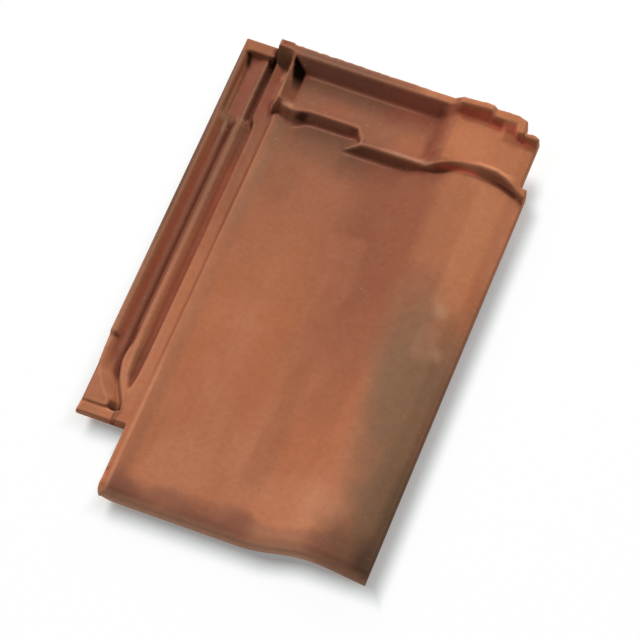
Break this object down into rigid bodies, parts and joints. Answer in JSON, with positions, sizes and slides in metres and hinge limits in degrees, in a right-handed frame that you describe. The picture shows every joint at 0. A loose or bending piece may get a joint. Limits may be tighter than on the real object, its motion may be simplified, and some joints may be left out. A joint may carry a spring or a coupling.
{
  "type": "interlocking clay roof tile",
  "caption": "Pressed clay roof tile with a side lock of grooves and ribs, a flat water course, a low roll along the free edge, weather bars and a raised head rib.",
  "frame": {"origin": "middle of the tile's plan on the floor that the nibs and the stacking lugs stand on", "axes": "+X across the tile from the side lock to the free edge, +Y up the roof from the foot to the head, +Z out of the weathered face"},
  "size_m": [0.275, 0.443, 0.0665],
  "materials": {
    "clay": "fired terracotta, matt, with darker flashing and pale dust in places"
  },
  "bodies": {
    "root": {"tile": "clay"}
  },
  "joints": []
}
